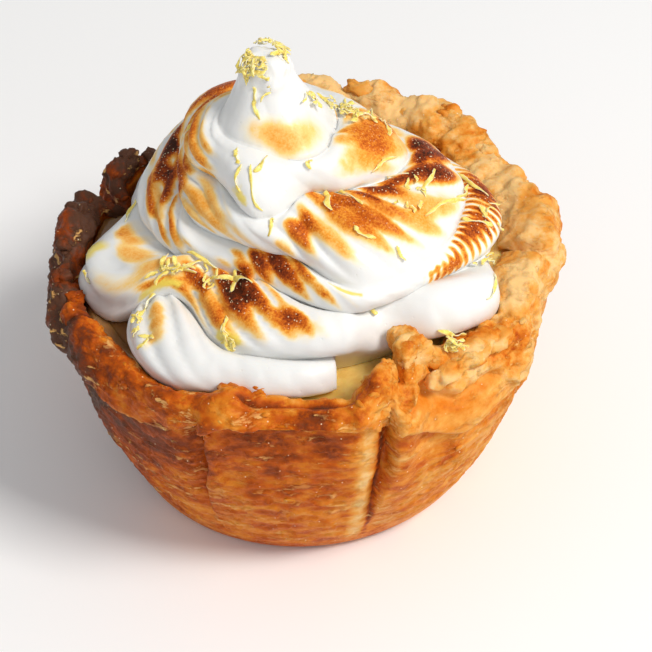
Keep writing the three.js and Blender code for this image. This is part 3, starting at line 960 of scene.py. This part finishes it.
def bulge_at(travel):
    bulge = BULGE - 0.35 * travel / 360
    for *where, extra, _ in SWELLS:
        bulge = bulge + extra * hump(travel, *where)
    free_end = np.sqrt(clamp(1 - (1 - clamp((travel + 3) / 14)) ** 2))
    return bulge * free_end


def sag_at(travel):
    return sum(sag * hump(travel, *where) for *where, _, sag in SWELLS)


def flute_strength(travel):
    strength = 0.12 + 0 * travel
    for *where, value in FLUTED:
        strength = np.maximum(strength, value * hump(travel, *where))
    return strength


def flute_ridge(travel, across):
    """0 in the groove between two flutes and 1 on a flute's crest."""
    x = np.radians(travel)
    run = 38 * x - 0.52 * x * x
    wander = 0.35 * np.sin(travel * 0.047) + 0.22 * np.sin(travel * 0.131 + 1.3)
    crossing = np.abs(np.sin(np.pi * ((run - 9 * across) / FLUTE_PITCH + wander)))
    swept = np.abs(np.sin(np.pi * ((run - 44 * across) / (2.3 * FLUTE_PITCH) + 0.6 * wander)))
    share = sum(hump(travel, *where) for where in SWEPT)
    return crossing + (swept - crossing) * clamp(1.6 * share)


def rope_skin(travel, across):
    width = 1 - smoothstep(travel, *FADE)
    r0, z0 = crease(travel)
    r1, z1 = crease(travel + 360)
    dr, dz = (r1 - r0) * width, (z1 - z0) * width
    length = np.hypot(dr, dz) + 1e-6
    bulge = bulge_at(travel) * width
    belly = np.sin(np.pi * across)
    ridge = 1.6 * (flute_ridge(travel, across) - 0.62)
    flutes = FLUTE_DEPTH * flute_strength(travel) * belly**0.6 * ridge
    out = bulge * belly**0.85 + width * flutes
    spread = 0.3 * bulge * np.sin(2 * np.pi * across)
    radius = r0 + dr * across + (dz * out - dr * spread) / length
    height = z0 + dz * across - (dr * out + dz * spread) / length - sag_at(travel) * belly**0.85 * width
    return radius, np.maximum(height, SWIRL_BASE)


def cone_radius(z):
    return TIP_RADIUS + 5.8 * np.clip((TIP - z) / 16, 0, 1.2) ** 1.9


def cone_skin(travel, up):
    r0, z0 = rope_skin(travel - 360, np.ones_like(travel))
    z = z0 + (TIP - z0) * (1 - (1 - up) ** 1.3)
    blend = 1 + (r0 / cone_radius(z0) - 1) * (1 - smoothstep(up, 0, 0.5))
    skirt = 0.4 * np.sin(np.pi * clamp((z - z0) / (0.62 * (TIP - z0)))) ** 0.8
    rounding = np.sqrt(clamp(1 - clamp((z - TIP + 2.4) / 2.4) ** 2))
    return (cone_radius(z) * blend + skirt) * rounding, z


def lean_at(z):
    """How far the swirl stands to the left of the cup's middle."""
    return BASE_LEAN * (1 - smoothstep(z, 46, 58)) + 4.3 * smoothstep(z, 58, 80) + smoothstep(z, 80, 92)


def skin(travel, across):
    """Points of the meringue's skin, for arrays of travel and height across the pass."""
    travel, across = np.broadcast_arrays(np.asarray(travel, float), np.asarray(across, float))
    rope_r, rope_z = rope_skin(np.minimum(travel, ROPE_END - 1e-6), across)
    cone_r, cone_z = cone_skin(np.maximum(travel, ROPE_END), across)
    on_rope = travel < ROPE_END
    radius, z = np.where(on_rope, rope_r, cone_r), np.where(on_rope, rope_z, cone_z)
    points = polar(radius, START - travel, z)
    points[..., 0] -= lean_at(z)
    return points


def toast_at(travel, across, points):
    """How brown the meringue is, from 0 to a little over 1."""
    fingers = (flute_ridge(travel, across) - 0.55) * np.minimum(flute_strength(travel) + 0.35, 1)
    *where, period = COMBED
    combed = 1.2 * (np.abs(np.sin(np.pi * travel / period + 1.2 * across)) - 0.5)
    fingers = fingers + (combed - fingers) * hump(travel, *where)
    fingers = np.where(travel < ROPE_END, fingers, 0)
    ragged = 0.34 * layered(points, 3.2, 3, 41) + 0.14 * layered(points, 0.8, 2, 43)
    toast = np.zeros(np.shape(travel))
    for middle, height, half_travel, half_height, brown in TOASTED:
        away = np.hypot((travel - middle) / half_travel, (across - height) / half_height)
        edge = 1.2 - away + fingers * np.minimum(away, 1.1) + 0.35 * ragged
        toast = np.maximum(toast, brown * smoothstep(edge, 0.0, 1.05))
    toast = toast * (0.92 + 0.3 * ragged)
    creased = smoothstep(across, 0.01, 0.11) * (1 - smoothstep(across, 0.91, 0.99))
    return np.where(travel < ROPE_END, toast * creased, toast)


def smear_at(travel, across, points):
    """How much lemon is smeared on the meringue, from 0 to 1."""
    ragged = 0.6 * layered(points, 2.2, 3, 45)
    smear = np.zeros(np.shape(travel))
    for middle, height, half_travel, half_height in SMEARS:
        away = np.hypot((travel - middle) / half_travel, (across - height) / half_height)
        smear = np.maximum(smear, 0.9 * smoothstep(1.25 - away + ragged, 0.0, 0.4) * (away < 2))
    return smear


def build_meringue(material):
    """The swirl: columns round it by rows up the passes and the cone, and a flat base."""
    columns = SWIRL_COLUMNS
    travel = np.arange(columns) * 360.0 / columns
    rope_rows = PASSES * ROWS_PER_PASS
    rows = [(360 * p, r / ROWS_PER_PASS) for p in range(PASSES) for r in range(ROWS_PER_PASS)]
    rows += [(ROPE_END, r / CONE_ROWS) for r in range(CONE_ROWS + 1)]
    shift, across = np.array(rows).T
    travels = travel[:, None] + shift[None, :]
    acrosses = np.broadcast_to(across[None, :], travels.shape)
    points = skin(travels, acrosses)

    # the first columns again, a pass higher, follow the last ones
    higher = np.minimum(np.arange(rope_rows) + ROWS_PER_PASS, rope_rows)
    higher = np.append(higher, np.arange(rope_rows, len(rows)))
    numbers = numbered(travels)
    grid = np.concatenate([numbers, numbers[0, higher][None, :]])
    spread = points.reshape(-1, 3)[grid]
    normals = -grid_normals(spread, False)[:-1]

    soft = 0.35 * layered(points, 9.0, 2, 51) + 0.05 * layered(points, 1.6, 2, 53)
    rough = 0.9 * smoothstep(points[..., 2], 84, 89) * layered(points, 3.2, 3, 57)
    z = points[..., 2]
    ribs = 0.32 * (np.abs(np.sin(np.radians(2.5 * travels) - 0.16 * z)) - 0.6)
    rough = rough + ribs * smoothstep(z, 70, 76) * (1 - smoothstep(z, 85, 89))
    points = points + normals * (soft + rough)[..., None]
    points[..., 2] = np.clip(points[..., 2], SWIRL_BASE - 0.1, TIP + 0.2)
    bare = np.zeros(columns + 1)
    toast = np.append(toast_at(travels, acrosses, points), bare)
    smear = np.append(smear_at(travels, acrosses, points), bare)

    under = polar(crease(travel)[0] - BASE_INSET, START - travel, SWIRL_BASE)
    under[..., 0] -= BASE_LEAN
    count = travels.size
    under_numbers = count + np.arange(columns)
    middle = count + columns
    everything = np.concatenate([points.reshape(-1, 3), under, [[-BASE_LEAN, 0, SWIRL_BASE]]])
    faces = [quad[::-1] for quad in quads_between(grid)]
    for i in range(columns):
        j = (i + 1) % columns
        foot = grid[i + 1, 0] if i + 1 < columns else numbers[0, 0]
        faces.append([under_numbers[i], grid[i, 0], foot, under_numbers[j]])
        faces.append([middle, under_numbers[i], under_numbers[j]])
    end = numbers[0, : ROWS_PER_PASS + 1]
    faces.append([grid[-2, 0], *end[::-1]])
    piece = make_object("meringue_swirl", everything, faces, material, "meringue", toast=toast, smear=smear)
    merge_doubles(piece)
    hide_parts("meringue")


def merge_doubles(piece):
    """Joins points that coincide where the rope fades out, and drops what has no area."""
    work = bmesh.new()
    work.from_mesh(piece.data)
    bmesh.ops.remove_doubles(work, verts=work.verts, dist=0.004 * MM)
    bmesh.ops.dissolve_degenerate(work, edges=work.edges, dist=0.002 * MM)
    bmesh.ops.recalc_face_normals(work, faces=work.faces)
    work.to_mesh(piece.data)
    work.free()


# ---- Zest ----

# section of a shred: across it and up in shares of its half width and thickness, and how pithy
SHRED_SECTION = [
    (-1, -0.15, 0.9),
    (-0.9, 0.7, 0.5),
    (-0.3, 1, 0.05),
    (0.4, 0.95, 0.05),
    (1, 0.6, 0.5),
    (0.95, -0.2, 0.9),
    (0, -0.35, 1),
]


def skin_frame(travel, across):
    along = (skin(travel + 1.0, across) - skin(travel - 1.0, across)) / 2
    upwards = (skin(travel, across + 0.04) - skin(travel, across - 0.04)) / 0.08
    normal = unit(np.cross(upwards, along))
    return unit(along), unit(upwards), normal, np.linalg.norm(along), np.linalg.norm(upwards)


def strip_mesh(path, normals, width, thickness, draw):
    """Points, faces and pith of one flat curly strip that follows a path, with its normals."""
    steps = len(path)
    forwards = unit(np.gradient(path, axis=0))
    sideways = unit(np.cross(normals, forwards))
    t = np.linspace(0, 1, steps)
    taper = clamp(np.minimum(t, 1 - t) * 6 + 0.35) * (1 + 0.25 * draw.uniform(-1, 1, steps))
    half = 0.5 * width * taper
    tilt = draw.uniform(-0.4, 0.4) + 0.9 * np.sin(t * draw.uniform(4, 10) + draw.uniform(0, 6))
    side = sideways * np.cos(tilt)[:, None] + normals * np.sin(tilt)[:, None]
    up = np.cross(forwards, side)
    rings = []
    for across, rise, _ in SHRED_SECTION:
        wobble = 1 + 0.12 * draw.uniform(-1, 1, steps)
        rings.append(path + side * (half * across * wobble)[:, None] + up * (thickness * rise))
    points = np.stack(rings, 1)
    numbers = numbered(points[..., 0])
    faces = quads_between(np.concatenate([numbers, numbers[:, :1]], 1))
    faces += [list(numbers[0]), list(numbers[-1][::-1])]
    pith = np.tile([pale for _, _, pale in SHRED_SECTION], (steps, 1))
    return points.reshape(-1, 3), faces, pith.ravel()


def shred_path(start, height, length, heading, curl, draw, steps=14):
    """A path on the meringue's skin, with the skin's normals, that bends by curl as it goes."""
    travel, across = float(start), float(height)
    stride = length / (steps - 1)
    path, normals = [], []
    for step in range(steps):
        t = step / (steps - 1)
        turn = np.radians(heading + curl * (t - 0.5) + 14 * np.sin(7 * t + start))
        _, _, normal, per_degree, per_pass = skin_frame(travel, across)
        lift = 0.16 + 0.45 * draw.uniform(0, 1) * t * t
        path.append(skin(travel, across) + normal * lift)
        normals.append(normal)
        travel += stride * np.cos(turn) / per_degree
        travel = max(travel, ROPE_END + 3.0) if start > ROPE_END else min(travel, ROPE_END - 3.0)
        across = float(np.clip(across + stride * np.sin(turn) / per_pass, 0.06, 0.94))
    return np.array(path), np.array(normals)


def build_zest(material):
    draw = np.random.default_rng(7)
    parts = []
    for start, height, length, heading, curl in SHREDS:
        path, normals = shred_path(start, height, length, heading, curl, draw)
        parts.append(strip_mesh(path, normals, SHRED_WIDTH * draw.uniform(0.6, 1.1), 0.17, draw))
    for start, height, along, across, number in TANGLES:
        for _ in range(number):
            travel = start + along * draw.normal(0, 0.4)
            up = np.clip(height + across * draw.normal(0, 0.5), 0.08, 0.92)
            bit = (draw.uniform(1.0, 3.6), draw.uniform(0, 360), draw.uniform(-160, 160))
            path, normals = shred_path(travel, up, *bit, draw, steps=8)
            path = path + normals * draw.uniform(0, 0.7)
            parts.append(strip_mesh(path, normals, draw.uniform(0.4, 0.85), 0.14, draw))
    angle, radius, height, reach, number = RIM_TANGLE
    for _ in range(number):
        middle = polar(radius, angle, height) + reach * draw.normal(0, 0.32, 3) * [1, 1, 0.5]
        first, second = unit(draw.normal(0, 1, 3)), unit(draw.normal(0, 1, 3) * [1, 1, 0.3])
        turn = (draw.uniform(0, 6) + np.linspace(0, draw.uniform(2, 5), 10))[:, None]
        path = middle + draw.uniform(0.5, 1.3) * (np.cos(turn) * first + np.sin(turn) * second)
        normals = np.tile([0.1, -0.5, 0.86], (10, 1))
        parts.append(strip_mesh(path, normals, draw.uniform(0.4, 0.8), 0.14, draw))
    points, faces, pith = joined(parts)
    piece = make_object("zest_shreds", points, faces, material, "zest", pith=pith)
    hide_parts("meringue")


def joined(parts):
    points, faces, values, offset = [], [], [], 0
    for part_points, part_faces, part_values in parts:
        points.append(part_points)
        values.append(part_values)
        faces += [[v + offset for v in face] for face in part_faces]
        offset += len(part_points)
    return np.concatenate(points), faces, np.concatenate(values)


# ---- Knobs of pastry on the rim ----


def build_knobs(material):
    parts = []
    turns, rises = np.meshgrid(np.arange(28) / 28, np.linspace(0, 1, 17), indexing="ij")
    for seed, (angle, radius, height, wide, deep, tall, lean, bake) in enumerate(KNOBS):
        a, b = 2 * np.pi * turns, np.pi * rises
        ball = np.stack([np.sin(b) * np.cos(a), np.sin(b) * np.sin(a), -np.cos(b)], -1)
        ball = np.sign(ball) * np.abs(ball) ** 0.85
        out = polar(1.0, angle, 0.0)
        around = np.array([-out[1], out[0], 0.0])
        up = np.array([0, 0, 1.0]) + np.tan(np.radians(lean)) * out
        centre = polar(radius, angle, height)
        ball = ball * np.array([wide, deep, tall]) / 2
        points = centre + ball[..., :1] * around + ball[..., 1:2] * out + ball[..., 2:] * up
        size = min(wide, deep, tall)
        away = unit(points - centre)
        cracks = np.abs(layered(points, 0.7 * size, 4, seed + 50))
        lumps = size * (0.16 * layered(points, 0.8 * size, 3, seed) - 0.34 * cracks)
        points = points + away * (lumps + 0.06 * layered(points, 0.7, 2, seed))[..., None]
        points[:, 0], points[:, -1] = points[:, 0].mean(0), points[:, -1].mean(0)
        numbers = numbered(turns)
        faces = quads_between(np.concatenate([numbers, numbers[:1]]))
        parts.append((points.reshape(-1, 3), faces, np.full(turns.size, bake)))
    points, faces, bake = joined(parts)
    bake = bake + 0.15 * layered(points, 2.5, 2, 63)
    pale = 0.4 + 0.4 * layered(points, 3.0, 2, 65)
    piece = make_object("crust_knobs", points, faces, material, "pastry", bake=bake, pale=pale)
    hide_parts("crust")


# ---- Loose flakes of pastry ----


def build_flakes(points, normals, bake, material):
    """Small scales of pastry that stand a little off the wall and the rim."""
    draw = np.random.default_rng(19)
    parts = []
    columns = bake.shape[0]
    steps = cup_steps()
    spans = np.repeat(np.arange(len(steps)), steps)
    wall_rows = np.where((spans >= 4) & (spans <= LAST_WALL_SPAN))[0]
    roll_rows = np.where((spans >= 10) & (spans <= ROLL_SPANS[1]))[0]
    sides = 7
    angles = np.arange(sides) * 2 * np.pi / sides
    for number in range(FLAKES):
        on_roll = number % 3 > 0
        row = int(draw.choice(roll_rows if on_roll else wall_rows))
        column = int(draw.integers(0, columns))
        centre, normal = points[column, row], normals[column, row]
        around = unit(np.cross([0, 0, 1.0], normal))
        down = np.cross(normal, around)
        size = draw.uniform(0.4, 1.3)
        turn = draw.uniform(-0.6, 0.6)
        u = around * np.cos(turn) + down * np.sin(turn)
        v = -around * np.sin(turn) + down * np.cos(turn)
        reach = size * draw.uniform(0.55, 1.0, sides)
        rise = 0.02 + 0.18 * size * clamp(np.sin(angles)) * draw.uniform(0.2, 1.0)
        swing = np.stack([1.3 * reach * np.cos(angles), 0.7 * reach * np.sin(angles), rise], -1)
        rim = centre + swing @ np.stack([u, v, normal])
        bottom = rim - normal * 0.28
        middle = centre + normal * (0.06 + 0.04 * size)
        flake = np.concatenate([rim, bottom, [middle], [centre - normal * 0.3]])
        faces = []
        for k in range(sides):
            j = (k + 1) % sides
            faces += [[k, j, 2 * sides], [k, sides + k, sides + j, j], [sides + j, sides + k, 2 * sides + 1]]
        # each flake takes the crust's value beneath it, painted shade included
        parts.append((flake, faces, np.full(len(flake), bake[column, row] - draw.uniform(0.02, 0.16))))
    flakes, faces, bake = joined(parts)
    pale = 0.3 + 0.3 * layered(flakes, 3.0, 2, 61)
    piece = make_object("crust_flakes", flakes, faces, material, "pastry", pale=pale, bake=bake)
    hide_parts("crust")


# ---- Stage ----

FLOOR_REACH = 4.0

# name, azimuth from the camera to its right, elevation, distance, size, power, colour
LIGHTS = [
    ("key", 58, 50, 1.2, 0.35, 10.8, (1.0, 0.97, 0.93)),
    ("front", 5, 40, 1.4, 0.9, 2.2, (1.0, 0.98, 0.95)),
    ("left", -80, 35, 1.3, 0.9, 0.3, (0.85, 0.92, 1.0)),
]


def build_stage():
    n = Nodes("floor")
    n.set("Base Color", srgb(250, 250, 250))
    n.set("Roughness", 0.7)
    mesh = bpy.data.meshes.new("floor")
    signs = [(-1, -1), (1, -1), (1, 1), (-1, 1)]
    mesh.from_pydata([(FLOOR_REACH * x, FLOOR_REACH * y, 0) for x, y in signs], [], [(0, 1, 2, 3)])
    mesh.materials.append(n.material)
    floor = add_object("floor", mesh)

    world = bpy.data.worlds.new("studio")
    world.use_nodes = True
    background = world.node_tree.nodes["Background"]
    background.inputs["Color"].default_value = (0.96, 0.98, 1.0, 1)
    background.inputs["Strength"].default_value = 0.42
    bpy.context.scene.world = world
    bpy.context.scene.view_settings.view_transform = "Standard"


def area_light(name, azimuth, elevation, distance, size, power, colour):
    """A soft light aimed at the pie."""
    a, e = np.radians(azimuth), np.radians(elevation)
    place = distance * Vector((np.sin(a) * np.cos(e), -np.cos(a) * np.cos(e), np.sin(e)))
    light = bpy.data.lights.new(name, "AREA")
    light.size = size
    light.energy = power
    light.color = colour
    aim = Vector((0, 0, 0.05)) - place
    turn = aim.to_track_quat("-Z", "Y").to_matrix().to_4x4()
    add_object(name, light).matrix_world = Matrix.Translation(place) @ turn


def build_camera():
    elevation, roll = np.radians([CAMERA_ELEVATION, CAMERA_ROLL])
    forwards = Vector((0, np.cos(elevation), -np.sin(elevation)))
    right = Vector((1, 0, 0))
    up = right.cross(forwards)
    side = right * np.cos(roll) + up * np.sin(roll)
    top = up * np.cos(roll) - right * np.sin(roll)
    place = (Vector(CAMERA_TARGET) - forwards * CAMERA_DISTANCE) * MM
    data = bpy.data.cameras.new("camera")
    data.sensor_width = SENSOR
    data.lens = FOCAL_PIXELS / IMAGE_PIXELS * SENSOR
    data.clip_start = 0.01
    camera = add_object("camera", data)
    turn = Matrix((side, top, -forwards)).transposed().to_4x4()
    camera.matrix_world = Matrix.Translation(place) @ turn
    bpy.context.scene.camera = camera


build_camera()
pastry = crust_material()
cup_points, cup_normals, cup_bake = build_crust(pastry)
build_knobs(pastry)
build_flakes(cup_points, cup_normals, cup_bake, pastry)
build_curd(curd_material())
build_meringue(meringue_material())
build_zest(zest_material())
build_stage()
for light in LIGHTS:
    area_light(*light)
